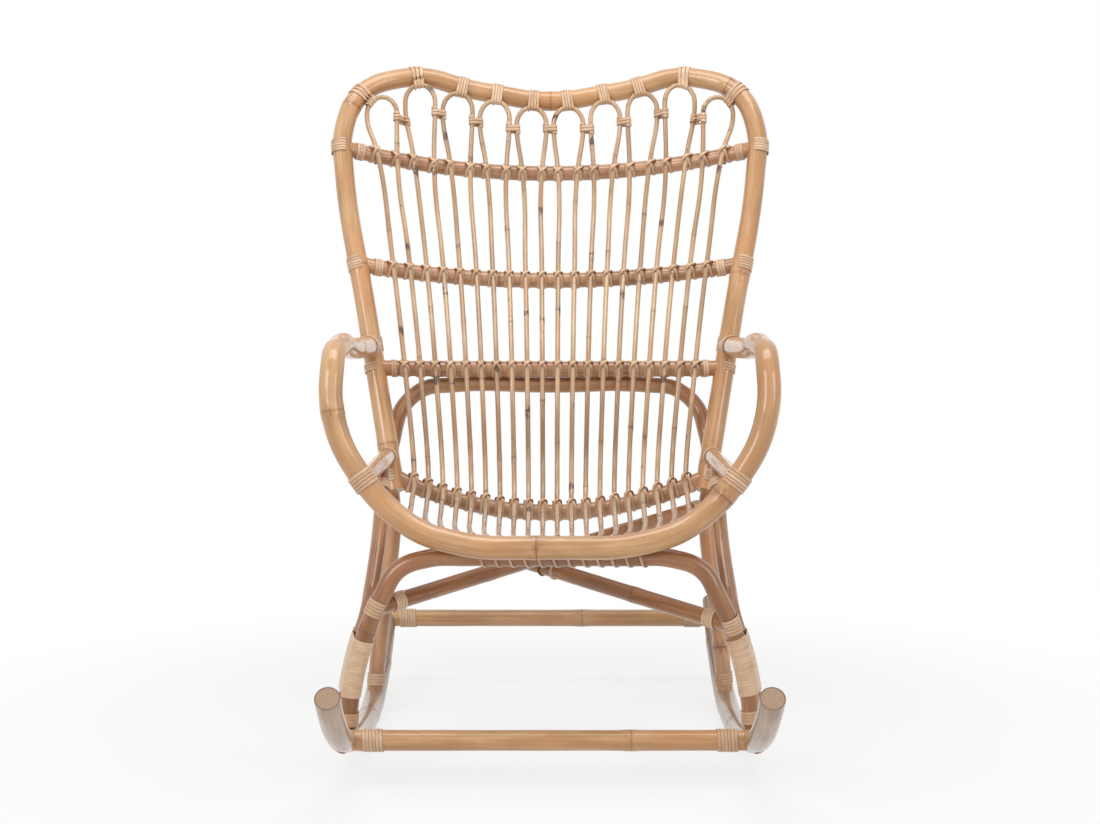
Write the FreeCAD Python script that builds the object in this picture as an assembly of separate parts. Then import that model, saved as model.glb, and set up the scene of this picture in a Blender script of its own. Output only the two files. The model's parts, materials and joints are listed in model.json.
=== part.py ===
import FreeCAD, Part
import math
import os

V = FreeCAD.Vector

# Overall sizes, in millimetres, with the floor at z = 0 and the front at -y
HEIGHT = 1034.0
EAR_HALF = 342.0
RUNNER_HALF = 276.0
TIP_Y = -458.0
REAR_END_Y = 414.0

# Pole, cane and peel thicknesses
FRAME_D = 32.0
RUNNER_D = 33.0
LEG_D = 25.0
RAIL_D = 25.0
STRETCHER_D = 28.0
BRACE_D = 23.0
STRUT_D = 21.0
FRONT_RAIL_D = 18.0
CANE_D = 8.0
PEEL_D = 3.6
PEEL_PITCH = 4.6
LASH_D = 2.4

# Clearances between pieces that touch
FIT = 0.3
STRAND_FIT = 0.4
CANE_FIT = 0.6
STRAP_FIT = 0.6

# Runner: lowest point, bend of the front half, of the tip and of the rear half
CONTACT_Y = 84.0
FRONT_BEND = 1390.0
TIP_BEND = 420.0
TIP_START_Y = -288.0
REAR_BEND = 520.0

# Back: stile foot, slope of the stiles, ears and the dip between them
FOOT_X = 242.0
FOOT_Y = 160.0
FOOT_Z = 352.0
STILE_SPLAY = 0.188
RECLINE = 0.365
EAR_START = 160.0
EAR_WIDE_DROP = 110.0
SHOULDER_IN = 34.0
SHOULDER_DROP = 25.0
EAR_PEAK_X = 240.0
WAVE_X = 110.0
WAVE_DROP = 23.0
DIP_DROP = 38.0
TOP_BOW = 59.4

# Back rails: height of the ends, backward bow and sag of the middle
LOWER_Z = 539.0
LOWER_BOW = 10.0
LOWER_SAG = 2.0
MIDDLE_Z = 704.0
MIDDLE_BOW = 58.0
MIDDLE_SAG = 26.0
UPPER_DROP = 122.0
UPPER_BOW = 78.0
UPPER_SAG = 38.0

# Seat: rear rail, side rails, hoop front and arms
SEAT_REAR_Z = 372.0
SEAT_REAR_SAG = 56.0
SIDE_FRONT_Z = 411.0
SIDE_REAR_Z = 406.0
HOOP_FRONT_Y = -273.0
HOOP_FRONT_Z = 323.0
ARM_HALF = 293.0
ARM_FRONT_Y = -243.0
ARM_FRONT_Z = 588.0
ARM_REAR_Z = 575.0
ARM_BEND = 62.0

# Legs and braces
FRONT_RAIL_JOIN = 0.80
REAR_LEG_IN = 0.35
REAR_HOOP_DROP = 26.0
REAR_HOOP_BACK = 14.0
LONG_WRAP_Z = 156.0
LONG_WRAP_TURNS = 18
FOOT_WRAP_Z = 84.0
STRUT_GAP = 2.6
REAR_TOUCH_GAP = 2.0
FRONT_LEG_Y = -228.0
ARCH_Z = 306.0
ARCH_Y = -243.0
REAR_LEG_Y = 166.0
REAR_TOUCH_Z = 440.0
STRUT_TOP_Y = 40.0
BRACE_FRONT_Z = 226.0
BRACE_REAR_Z = 312.0
BRACE_GAP = 0.8
FRONT_STRETCHER_Y = -258.0
REAR_STRETCHER_Y = 382.0

# Canes: ten hairpins, half widths of their field at each rail
HAIRPINS = 10
LOOP_PITCH = 62.0
LOOP_R = 25.0
UPPER_LEG_GAP = 34.0
UPPER_FIELD = 293.0
MIDDLE_FIELD = 259.0
LOWER_FIELD = 231.0
REAR_FIELD = 217.0
FRONT_FIELD = 186.0
SEAT_DIP_Z = 311.0
SEAT_DISH = 34.0
LACE_TURNS = 12
LACE_LIFT = 2.6
NECK_DROP = 12.0
NECK_PITCH = 5.2
EAR_PITCH = 6.6

# Screws through the butted poles
SCREW_D = 4.0
SCREW_HEAD_D = 8.0
SCREW_HEAD_H = 3.0
SCREW_BITE = 26.0
SCREW_FIT = 0.1
SCREW_SINK = 2.0

FRAME_R = FRAME_D / 2
RUNNER_R = RUNNER_D / 2
LEG_R = LEG_D / 2
RAIL_R = RAIL_D / 2
CANE_R = CANE_D / 2
PEEL_R = PEEL_D / 2
STRUT_R = STRUT_D / 2
BRACE_R = BRACE_D / 2
FRONT_RAIL_R = FRONT_RAIL_D / 2
EAR_TOP_Z = HEIGHT - FRAME_R
UPPER_Z = EAR_TOP_Z - UPPER_DROP


# Paths made of arcs
def unit(v):
    return v / v.Length


def mirrored(p):
    return V(-p.x, p.y, p.z)


def arc_edge(p, t, q):
    chord = q - p
    side = chord - t * chord.dot(t)
    if side.Length < 1e-4 * chord.Length:
        return Part.LineSegment(p, q).toShape()
    side = unit(side)
    radius = chord.dot(chord) / (2 * chord.dot(side))
    centre = p + side * radius
    middle = centre + unit((p + q) / 2 - centre) * radius
    return Part.Arc(p, middle, q).toShape()


def biarc(p, t, q, u):
    v = q - p
    s = t + u
    k = 2 * (1 - t.dot(u))
    if k < 1e-6:
        d = v.dot(v) / (4 * v.dot(u))
    else:
        d = (-v.dot(s) + math.sqrt(v.dot(s) ** 2 + k * v.dot(v))) / k
    m = (p + q + (t - u) * d) / 2
    first = arc_edge(p, t, m)
    turn = unit((p + t * d) - m) * -1
    return [first, arc_edge(m, turn, q)]


def tangents(points):
    out = []
    for i in range(1, len(points) - 1):
        a = points[i] - points[i - 1]
        b = points[i + 1] - points[i]
        out.append(unit(a / a.dot(a) + b / b.dot(b)))
    first = points[1] - points[0]
    last = points[-1] - points[-2]
    head = unit(first * (2 * first.dot(out[0]) / first.dot(first)) - out[0])
    tail = unit(last * (2 * last.dot(out[-1]) / last.dot(last)) - out[-1])
    return [head] + out + [tail]


def chain(points, ts):
    edges = []
    for i in range(len(points) - 1):
        edges += biarc(points[i], ts[i], points[i + 1], ts[i + 1])
    return edges


def path(points):
    return chain(points, tangents(points))


def straight(p, q):
    return [Part.LineSegment(p, q).toShape()]


def bow(p, middle, q):
    return [Part.Arc(p, middle, q).toShape()]


def tube(edges, diameter, seam=0.0):
    e = edges[0]
    start = e.valueAt(e.FirstParameter)
    heading = e.tangentAt(e.FirstParameter)
    ring = Part.Circle(start, heading, diameter / 2).toShape()
    ring.rotate(start, heading, seam)
    return Part.Wire(edges).makePipeShell([Part.Wire([ring])], True, False).Solids[0]


measured = {}


def spans(edges):
    if id(edges) not in measured:
        measured[id(edges)] = (edges, [e.Length for e in edges])
    return measured[id(edges)][1]


def total(edges):
    return sum(spans(edges))


def along(edges, s):
    lengths = spans(edges)
    i = 0
    while i < len(edges) - 1 and s > lengths[i]:
        s -= lengths[i]
        i += 1
    e = edges[i]
    share = min(max(s / lengths[i], 0.0), 1.0)
    u = e.FirstParameter + (e.LastParameter - e.FirstParameter) * share
    return e.valueAt(u), unit(e.tangentAt(u))


def where(edges, test, lo, hi):
    rising = test(along(edges, lo)[0]) < 0
    for _ in range(40):
        mid = (lo + hi) / 2
        if (test(along(edges, mid)[0]) < 0) == rising:
            lo = mid
        else:
            hi = mid
    return (lo + hi) / 2


samples = {}


def nearest(edges, p):
    length = total(edges)
    if id(edges) not in samples:
        samples[id(edges)] = (edges, [along(edges, length * k / 200)[0] for k in range(201)])
    dots = samples[id(edges)][1]
    best = min(range(201), key=lambda k: (dots[k] - p).Length)
    lo = length * max(best - 1, 0) / 200
    hi = length * min(best + 1, 200) / 200
    for _ in range(24):
        third = (hi - lo) / 3
        if (along(edges, lo + third)[0] - p).Length < (along(edges, hi - third)[0] - p).Length:
            hi -= third
        else:
            lo += third
    return (lo + hi) / 2


def abreast(edges, p, t):
    s = nearest(edges, p)
    for _ in range(6):
        q, u = along(edges, s)
        s += (p - q).dot(t) / u.dot(t)
    return along(edges, s)[0]


# Runners
front_angle = math.asin((CONTACT_Y - TIP_START_Y) / FRONT_BEND)
axis_z = RUNNER_R
tip_start_z = axis_z + FRONT_BEND * (1 - math.cos(front_angle))
tip_turn = V(0, TIP_START_Y + TIP_BEND * math.sin(front_angle),
             tip_start_z + TIP_BEND * math.cos(front_angle))


def runner_z(y):
    if y > CONTACT_Y:
        return axis_z + REAR_BEND - math.sqrt(REAR_BEND ** 2 - (y - CONTACT_Y) ** 2)
    if y > TIP_START_Y:
        return axis_z + FRONT_BEND - math.sqrt(FRONT_BEND ** 2 - (y - CONTACT_Y) ** 2)
    return tip_turn.z - math.sqrt(TIP_BEND ** 2 - (y - tip_turn.y) ** 2)


def runner_point(y, side=1):
    return V(side * RUNNER_HALF, y, runner_z(y))


def runner_path(side):
    def piece(a, b):
        middle = runner_point((a + b) / 2, side)
        return Part.Arc(runner_point(a, side), middle, runner_point(b, side)).toShape()
    return [piece(TIP_Y, TIP_START_Y), piece(TIP_START_Y, CONTACT_Y), piece(CONTACT_Y, REAR_END_Y)]


# Back hoop, from the left foot over the ears to the right foot
def back_y(z):
    return FOOT_Y + RECLINE * (z - FOOT_Z)


def stile_x(z):
    return FOOT_X + STILE_SPLAY * (z - FOOT_Z)


def top_point(x, z):
    return V(x, back_y(z) + TOP_BOW * (1 - (x / EAR_HALF) ** 2), z)


ear_z = EAR_TOP_Z - EAR_START
stile_mid_z = (FOOT_Z + ear_z) / 2
half_back = [V(stile_x(z), back_y(z), z) for z in (FOOT_Z, stile_mid_z, ear_z)]
half_back += [top_point(EAR_HALF, EAR_TOP_Z - EAR_WIDE_DROP),
              top_point(EAR_HALF - SHOULDER_IN, EAR_TOP_Z - SHOULDER_DROP),
              top_point(EAR_PEAK_X, EAR_TOP_Z),
              top_point(WAVE_X, EAR_TOP_Z - WAVE_DROP)]
back_points = [mirrored(p) for p in half_back] + [top_point(0, EAR_TOP_Z - DIP_DROP)] + half_back[::-1]
back_path = path(back_points)
back_length = total(back_path)


def stile_at(z):
    s = where(back_path, lambda p: p.z - z, sum(spans(back_path)[:18]), back_length)
    return along(back_path, s)[0]


def top_at(x):
    s = where(back_path, lambda p: p.x - x, back_length * 0.25, back_length * 0.75)
    return along(back_path, s)


# Cross rails of the back and of the seat's rear edge
def cross_rail(z, backward, sag):
    end = stile_at(z)
    return bow(mirrored(end), V(0, end.y + backward, z - sag), end)


lower_path = cross_rail(LOWER_Z, LOWER_BOW, LOWER_SAG)
middle_path = cross_rail(MIDDLE_Z, MIDDLE_BOW, MIDDLE_SAG)
upper_path = cross_rail(UPPER_Z, UPPER_BOW, UPPER_SAG)
seat_rear_path = cross_rail(SEAT_REAR_Z, 0.0, SEAT_REAR_SAG)

# Arm hoop, from the left stile round the seat's front edge to the right stile
arm_rear = stile_at(ARM_REAR_Z)
half_arm = [arm_rear,
            V(ARM_HALF - 1, 20, (ARM_FRONT_Z + ARM_REAR_Z) / 2 - 4),
            V(ARM_HALF, ARM_FRONT_Y + ARM_BEND + 30, ARM_FRONT_Z - 2),
            V(ARM_HALF, ARM_FRONT_Y + ARM_BEND * 0.32, ARM_FRONT_Z - ARM_BEND * 0.3),
            V(ARM_HALF, ARM_FRONT_Y, ARM_FRONT_Z - ARM_BEND - 14),
            V(ARM_HALF - 11, ARM_FRONT_Y - 3, ARM_FRONT_Z - 122),
            V(ARM_HALF - 43, ARM_FRONT_Y - 8, HOOP_FRONT_Z + 88),
            V(ARM_HALF - 84, HOOP_FRONT_Y + 16, HOOP_FRONT_Z + 44),
            V(ARM_HALF - 118, HOOP_FRONT_Y + 10, HOOP_FRONT_Z + 21),
            V(ARM_HALF - 168, HOOP_FRONT_Y + 4, HOOP_FRONT_Z + 6)]
arm_points = [mirrored(p) for p in half_arm] + [V(0, HOOP_FRONT_Y, HOOP_FRONT_Z)] + half_arm[::-1]
arm_path = path(arm_points)
arm_length = total(arm_path)


def hoop_at_z(z):
    return where(arm_path, lambda p: p.z - z, arm_length * 0.5, arm_length * 0.74)


# Seat side rails and the thin rail that carries the canes at the front
side_front = along(arm_path, hoop_at_z(SIDE_FRONT_Z))[0]
side_rear = stile_at(SIDE_REAR_Z)


def side_path(side):
    return straight(V(side * side_rear.x, side_rear.y, side_rear.z),
                    V(side * side_front.x, side_front.y, side_front.z))


rail_end = side_rear + (side_front - side_rear) * FRONT_RAIL_JOIN
half_front = [rail_end,
              V(ARM_HALF - 86, HOOP_FRONT_Y + 57, HOOP_FRONT_Z + 28),
              V(ARM_HALF - 128, HOOP_FRONT_Y + 56, HOOP_FRONT_Z + 3),
              V(ARM_HALF - 193, HOOP_FRONT_Y + 55, HOOP_FRONT_Z - 10)]
front_rail_points = [mirrored(p) for p in half_front]
front_rail_points += [V(0, HOOP_FRONT_Y + 55, HOOP_FRONT_Z - 12)] + half_front[::-1]
front_rail_path = path(front_rail_points)

# Front leg arch and rear leg hoop
half_arch = [runner_point(FRONT_LEG_Y),
             V(RUNNER_HALF - 18, FRONT_LEG_Y - 8, ARCH_Z - 132),
             V(RUNNER_HALF - 47, ARCH_Y - 4, ARCH_Z - 58),
             V(RUNNER_HALF - 71, ARCH_Y - 1, ARCH_Z - 17),
             V(RUNNER_HALF - 116, ARCH_Y, ARCH_Z - 1),
             V(RUNNER_HALF - 166, ARCH_Y, ARCH_Z)]
arch_points = [mirrored(p) for p in half_arch] + [V(0, ARCH_Y, ARCH_Z)] + half_arch[::-1]
arch_path = path(arch_points)

touch = stile_at(REAR_TOUCH_Z)
lean = unit(V(-REAR_LEG_IN, 1.0, -RECLINE))
touch_leg = touch + lean * (FRAME_R + LEG_R + REAR_TOUCH_GAP)
hoop_top = V(0, stile_at(LOWER_Z).y + LOWER_BOW + REAR_HOOP_BACK, LOWER_Z - LOWER_SAG - REAR_HOOP_DROP)
half_rear = [runner_point(REAR_LEG_Y),
             V(RUNNER_HALF - 13, REAR_LEG_Y + 5, 160),
             V(RUNNER_HALF - 28, REAR_LEG_Y + 21, 275),
             touch_leg,
             V(touch_leg.x - 18, hoop_top.y - 7, hoop_top.z - 29),
             V(touch_leg.x - 49, hoop_top.y - 2, hoop_top.z - 5),
             V(touch_leg.x - 92, hoop_top.y, hoop_top.z)]
rear_points = [mirrored(p) for p in half_rear] + [hoop_top] + half_rear[::-1]
rear_path = path(rear_points)


# Struts: beside the front legs from the runners, then back up to the side rails
def leg_at(edges, z):
    s = where(edges, lambda p: p.z - z, total(edges) * 0.6, total(edges))
    return along(edges, s)[0]


beside = unit(V(0.34, 1, 0)) * (LEG_R + STRUT_R + STRUT_GAP)
strut_share = (STRUT_TOP_Y - side_rear.y) / (side_front.y - side_rear.y)
strut_top = side_rear + (side_front - side_rear) * strut_share
strut_foot_y = FRONT_LEG_Y + beside.y
half_strut = [runner_point(strut_foot_y) + V(beside.x, 0, 0)]
half_strut += [leg_at(arch_path, LONG_WRAP_Z + dz) + beside for dz in (-70, -35, 0, 30, 56)]
half_strut += [half_strut[-1] + V(-6, 48, 44), strut_top]


def strut_path(side):
    return path([V(side * p.x, p.y, p.z) for p in half_strut])


# Crossed braces under the seat, one over the other
def brace_path(side):
    step = -side * (BRACE_D + BRACE_GAP) / 2
    a = leg_at(arch_path, BRACE_FRONT_Z + step)
    b = leg_at(rear_path, BRACE_REAR_Z + step)
    return straight(V(side * a.x, a.y, a.z), V(-side * b.x, b.y, b.z))


# Stretchers between the runners
def stretcher_path(y):
    p = runner_point(y)
    return straight(mirrored(p), p)


# Canes: each hairpin runs from the seat's front over every rail into its loop and back
RAILS = {"front": (front_rail_path, FRONT_RAIL_R, FRONT_FIELD),
         "seat_rear": (seat_rear_path, RAIL_R, REAR_FIELD),
         "lower": (lower_path, RAIL_R, LOWER_FIELD),
         "middle": (middle_path, RAIL_R, MIDDLE_FIELD),
         "upper": (upper_path, RAIL_R, UPPER_FIELD)}


def leg_x(name, pin, hand):
    field = RAILS[name][2]
    if name == "upper":
        step = (2 * field - UPPER_LEG_GAP) / (HAIRPINS - 1)
        return (pin - (HAIRPINS - 1) / 2) * step + hand * UPPER_LEG_GAP / 2
    half = (2 * HAIRPINS - 1) / 2
    spindle = 2 * pin + (1 if hand > 0 else 0)
    return (spindle - half) / half * field


def rail_spot(name, x):
    edges = RAILS[name][0]
    return along(edges, where(edges, lambda p: p.x - x, 0.0, total(edges)))


def seat_spots(pin, hand):
    x = leg_x("front", pin, hand)
    share = (x / FRONT_FIELD) ** 2
    dip_x = (x + leg_x("seat_rear", pin, hand)) / 2
    return [V(dip_x, -60, SEAT_DIP_Z + SEAT_DISH * share * 0.9),
            V(dip_x * 1.03, 55, SEAT_DIP_Z + SEAT_DISH * share * 1.1)]


ORDER = ("front", "seat_rear", "lower", "middle", "upper")


def loop_clear(top, down):
    centre = top + down * LOOP_R
    angles = [a / 8 for a in range(26)]
    ring = [centre + (V(math.cos(a), 0, 0) - down * math.sin(a)) * LOOP_R for a in angles]
    spots = [(q - along(back_path, nearest(back_path, q))[0]).Length for q in ring]
    best = min(range(26), key=lambda k: spots[k])
    return spots[best], ring[best]


def loop_frame(pin):
    x = (pin - (HAIRPINS - 1) / 2) * LOOP_PITCH
    p, t = top_at(x)
    toward = V(0, -0.80, -0.60)
    out = unit(toward - t * toward.dot(t))
    top = V(x, 0, 0) + (p + out * (FRAME_R + CANE_R + CANE_FIT)).scale(0, 1, 1)
    under = rail_spot("upper", leg_x("upper", pin, 1) / 2 + leg_x("upper", pin, -1) / 2)[0]
    down = under + V(0, -RAIL_R - CANE_R, 0) - top
    down.x = 0
    down = unit(down)
    least, closest = loop_clear(top, down)
    while least < FRAME_R + CANE_R + CANE_FIT:
        top += down * 0.5
        least, closest = loop_clear(top, down)
    return closest, top, down


def cane_points(pin, hand, faces):
    spots = {name: rail_spot(name, leg_x(name, pin, hand)) for name in ORDER}
    seat = {name: spots[name][0] + faces[name] * (RAILS[name][1] + CANE_R + CANE_FIT) for name in ORDER}
    points = [seat["front"] + V(0, -20, 1.5), seat["front"]] + seat_spots(pin, hand)
    points += [seat[name] for name in ORDER[1:]]
    closest, top, down = frames[pin]
    shoulder = top + down * LOOP_R + V(hand * LOOP_R, 0, 0)
    return spots, points + [shoulder + down * 9, shoulder, top]


def crossings(pin, hand):
    faces = {name: V(0, -1, 0) for name in ORDER}
    faces["front"] = V(0, 0, 1)
    for _ in range(4):
        spots, points = cane_points(pin, hand, faces)
        ts = tangents(points)
        runs = {"front": ts[1], "seat_rear": ts[4], "lower": ts[5], "middle": ts[6], "upper": ts[7]}
        for name, (p, t) in spots.items():
            face = unit(t.cross(runs[name]))
            faces[name] = face if face.z - face.y > 0 else face * -1
    out = {name: (spots[name][0], spots[name][1], faces[name], runs[name]) for name in ORDER}
    return out, points


frames = [loop_frame(pin) for pin in range(HAIRPINS)]
crossed = {(pin, hand): crossings(pin, hand) for pin in range(HAIRPINS) for hand in (-1, 1)}
cane_paths = [path(crossed[pin, -1][1] + crossed[pin, 1][1][-2::-1]) for pin in range(HAIRPINS)]


# Wound peel: one unbroken strand round one pole, or round two that lie side by side
gaps = {}


def self_gap(edges, diameter):
    length = total(edges)
    n = int(length / 1.5)
    dots = [along(edges, length * i / n)[0] for i in range(n + 1)]
    skip = int(3 * diameter / 1.5)
    least = min((dots[i] - q).Length for i in range(n + 1) for q in dots[i + skip:i + 160])
    return least - diameter


def strand(points, ts, diameter, label):
    edges = chain(points, ts)
    gaps[label] = min(gaps.get(label, 1e9), self_gap(edges, diameter))
    return tube(edges, diameter)


def winding(edges, s0, way, turns, pole_d, lean, label):
    radius = pole_d / 2 + STRAND_FIT + PEEL_R
    points = []
    ts = []
    for i in range(2 * turns + 1):
        p, t = along(edges, s0 + way * PEEL_PITCH * i / 2)
        n = unit(lean - t * lean.dot(t))
        b = (t * way).cross(n)
        sign = 1 if i % 2 == 0 else -1
        points.append(p + n * (radius * sign))
        ts.append(unit(b * (radius * math.pi * sign) + t * (way * PEEL_PITCH / 2)))
    return strand(points, ts, PEEL_D, label)


def hull_turn(r1, r2, gap):
    tilt = math.acos((r1 - r2) / gap)
    wide = 2 * math.pi - 2 * tilt
    run = math.sqrt(gap ** 2 - (r1 - r2) ** 2)
    lengths = [0.0, r1 * wide / 2, r1 * wide, r1 * wide + run, r1 * wide + run + r2 * tilt]
    lengths += [lengths[4] + r2 * tilt]
    spots = [(0.0, r1, tilt + wide * i / 2) for i in range(3)]
    spots += [(gap, r2, -tilt + tilt * i) for i in range(3)]
    return spots, lengths, lengths[5] + run


def pair_winding(edges, s0, r1, others, r2, turns, label, pitch=PEEL_PITCH):
    grow = STRAND_FIT + PEEL_R
    wide = (along(edges, s0)[0] - along(others, nearest(others, along(edges, s0)[0]))[0]).Length
    lengths, around = hull_turn(r1 + grow, r2 + grow, wide)[1:]
    points = []
    ts = []
    for turn in range(turns):
        for i in range(6):
            p, t = along(edges, s0 + pitch * (turn + lengths[i] / around - turns / 2))
            across = abreast(others, p, t) - p
            x = unit(across)
            y = t.cross(x)
            shift, r, a = hull_turn(r1 + grow, r2 + grow, across.Length)[0][i]
            points.append(p + x * (shift + r * math.cos(a)) + y * (r * math.sin(a)))
            ts.append(unit(y * math.cos(a) - x * math.sin(a) + t * (pitch / around)))
    return strand(points, ts, PEEL_D, label)


# Strap of peel: strands side by side round a host pole, open towards the butted pole
def strap(p, axis, toward, host_d, strands):
    out = []
    side = axis.cross(toward)
    r = host_d / 2 + STRAP_FIT + PEEL_R
    for i in range(strands):
        base = p + axis * ((i - (strands - 1) / 2) * PEEL_PITCH)
        points = [base + side * r, base - toward * r, base - side * r]
        ts = [toward * -1, side * -1, toward]
        out.append(tube(chain(points, ts), PEEL_D))
    return out


# Crossed lashing: one strand that passes twice over the front pole, once each way
def lashing(rear_r, front_r, skew):
    thin = LASH_D / 2
    r = rear_r + STRAND_FIT + thin
    deep = rear_r + front_r + CANE_FIT
    side = front_r + thin + 0.7
    lift = LASH_D + 0.7

    def one(hand, extra, enter, leave):
        half = []
        for sign in (1, -1):
            x = -side * hand * sign
            z = sign * r
            half.append([V(x, r * 0.707, z * 0.707),
                         V(x, 0, z),
                         V(x, -r * 0.5, z * 0.866),
                         V(x, -deep, z * 0.52),
                         V(x * 0.72, -deep - side * 0.72 - extra * 0.7, z * 0.27)])
        crest = V(0, -deep - side - extra, 0)
        spots = [V(enter, r, 0)] + half[0] + [crest] + half[1][::-1] + [V(leave, r, 0)]
        return [q + V(skew * q.z, 0, 0) for q in spots]
    first = one(1, 0.0, -side - LASH_D * 0.8, side)
    second = one(-1, lift, side, -side + LASH_D * 0.8)
    return path(first + second[1:])


def lash(node, rear_r, front_r, p, t, face, run):
    y = face * -1
    z = t.cross(y)
    edges = lashing(rear_r, front_r, run.dot(t) / run.dot(z))
    if node not in gaps:
        gaps[node] = self_gap(edges, LASH_D)
    keep(node, placed(tube(edges, LASH_D), p, t, y, z))


def placed(shape, p, x, y, z):
    m = FreeCAD.Matrix(x.x, y.x, z.x, p.x, x.y, y.y, z.y, p.y, x.z, y.z, z.z, p.z, 0, 0, 0, 1)
    out = shape.copy()
    out.transformShape(m, True)
    return out.Solids[0]


# Screw with a flat head, and the hole it sits in
def screw_shape(head, way, length, grow):
    cap = Part.makeCylinder(SCREW_HEAD_D / 2 + grow, SCREW_HEAD_H + grow, head, way)
    shank = Part.makeCylinder(SCREW_D / 2 + grow, length + grow, head, way)
    return cap.fuse(shank).removeSplitter().Solids[0]


# Solids by name, the holes each pole gets and the poles its ends are shaped to
solids = {}
holes = {}
copes = {}


def keep(name, shape):
    solids.setdefault(name, []).append(shape)


def fasten(names, head, way, length):
    keep("joint_screws", screw_shape(head, way, length, 0.0))
    access = Part.makeCylinder(SCREW_HEAD_D / 2 + SCREW_FIT, 20, head - way * 20, way)
    hole = screw_shape(head, way, length, SCREW_FIT).fuse(access)
    for name in names:
        holes.setdefault(name, []).append(hole)


SIDES = (("left", -1), ("right", 1))
poles = {"back_hoop": (back_path, FRAME_D),
         "arm_hoop": (arm_path, FRAME_D),
         "upper_back_rail": (upper_path, RAIL_D),
         "middle_back_rail": (middle_path, RAIL_D),
         "lower_back_rail": (lower_path, RAIL_D),
         "seat_rear_rail": (seat_rear_path, RAIL_D),
         "seat_front_rail": (front_rail_path, FRONT_RAIL_D),
         "front_leg_arch": (arch_path, LEG_D),
         "rear_leg_hoop": (rear_path, LEG_D),
         "front_stretcher": (stretcher_path(FRONT_STRETCHER_Y), STRETCHER_D),
         "rear_stretcher": (stretcher_path(REAR_STRETCHER_Y), STRETCHER_D)}
for word, side in SIDES:
    poles[word + "_runner"] = (runner_path(side), RUNNER_D)
    poles[word + "_seat_side_rail"] = (side_path(side), RAIL_D)
    poles[word + "_strut"] = (strut_path(side), STRUT_D)
    poles[word + "_brace"] = (brace_path(side), BRACE_D)

# Tee joints: butted pole, which end, host pole, strap strands, winding turns, name of the binding
tees = []
for end, (word, side) in enumerate(SIDES):
    runner = word + "_runner"
    rail = word + "_seat_side_rail"
    brace = word + "_brace"
    strut = word + "_strut"
    tees.append(("upper_back_rail", end, "back_hoop", 5, 3, "upper_back_rail_bindings"))
    tees.append(("middle_back_rail", end, "back_hoop", 5, 3, "middle_back_rail_bindings"))
    tees.append(("lower_back_rail", end, "back_hoop", 3, 2, "lower_back_rail_bindings"))
    tees.append(("seat_rear_rail", end, "back_hoop", 4, 0, "seat_rear_rail_bindings"))
    tees.append(("arm_hoop", end, "back_hoop", 5, 5, "arm_bindings"))
    tees.append((rail, 0, "back_hoop", 0, 4, "seat_side_bindings"))
    tees.append((rail, 1, "arm_hoop", 5, 4, "seat_side_bindings"))
    tees.append(("front_stretcher", end, runner, 4, 6, "front_stretcher_bindings"))
    tees.append(("rear_stretcher", end, runner, 4, 6, "rear_stretcher_bindings"))
    tees.append(("front_leg_arch", end, runner, 0, 0, ""))
    tees.append(("rear_leg_hoop", end, runner, 0, 4, "rear_foot_bindings"))
    tees.append((brace, 0, "front_leg_arch", 5, 4, "brace_bindings"))
    tees.append((brace, 1, "rear_leg_hoop", 0, 4, "brace_bindings"))
    tees.append((strut, 0, runner, 0, 0, ""))
    tees.append((strut, 1, rail, 0, 4, "strut_bindings"))
    tees.append(("seat_front_rail", end, rail, 0, 4, "seat_front_end_bindings"))

for tenant, end, host, strands, turns, node in tees:
    edges, tenant_d = poles[tenant]
    host_edges, host_d = poles[host]
    copes.setdefault(tenant, []).append(host)
    s = total(edges) if end else 0.0
    p, t = along(edges, s)
    way = t * -1 if end else t
    axis = along(host_edges, nearest(host_edges, p))[1]
    fasten((tenant, host), p - way * (host_d / 2 - SCREW_SINK), way, host_d - SCREW_SINK + SCREW_BITE)
    across = unit(way - axis * way.dot(axis))
    for piece in strap(p, axis, across, host_d, strands):
        keep(node, piece)
    if turns:
        tilt = math.acos(min(abs(way.dot(axis)), 1.0))
        clear = host_d / 2 + FIT + 0.6 + (PEEL_D + STRAP_FIT if strands else 0.0)
        reach = tenant_d / 2 + STRAND_FIT + PEEL_D
        start = (clear + reach * math.cos(tilt)) / math.sin(tilt) + PEEL_R
        s0, heading = (s - start, -1) if end else (start, 1)
        keep(node, winding(edges, s0, heading, turns, tenant_d, axis, node))

# Screws where the rear leg hoop touches the stiles
for word, side in SIDES:
    a = V(side * touch.x, touch.y, touch.z)
    b = V(side * touch_leg.x, touch_leg.y, touch_leg.z)
    way = unit(b - a)
    length = FRAME_D - SCREW_SINK + LEG_R + 4
    fasten(("back_hoop", "rear_leg_hoop"), a - way * (FRAME_R - SCREW_SINK), way, length)

# Windings that hold each strut to its front leg, a long one and one at the foot
for word, side in SIDES:
    for node, z, turns in (("front_leg_bindings", LONG_WRAP_Z, LONG_WRAP_TURNS),
                           ("front_foot_bindings", FOOT_WRAP_Z, 4)):
        s = where(arch_path, lambda p: p.z - z, total(arch_path) * 0.6, total(arch_path))
        s = s if side > 0 else total(arch_path) - s
        keep(node, pair_winding(arch_path, s, LEG_R, poles[word + "_strut"][0], STRUT_R, turns, node))

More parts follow.
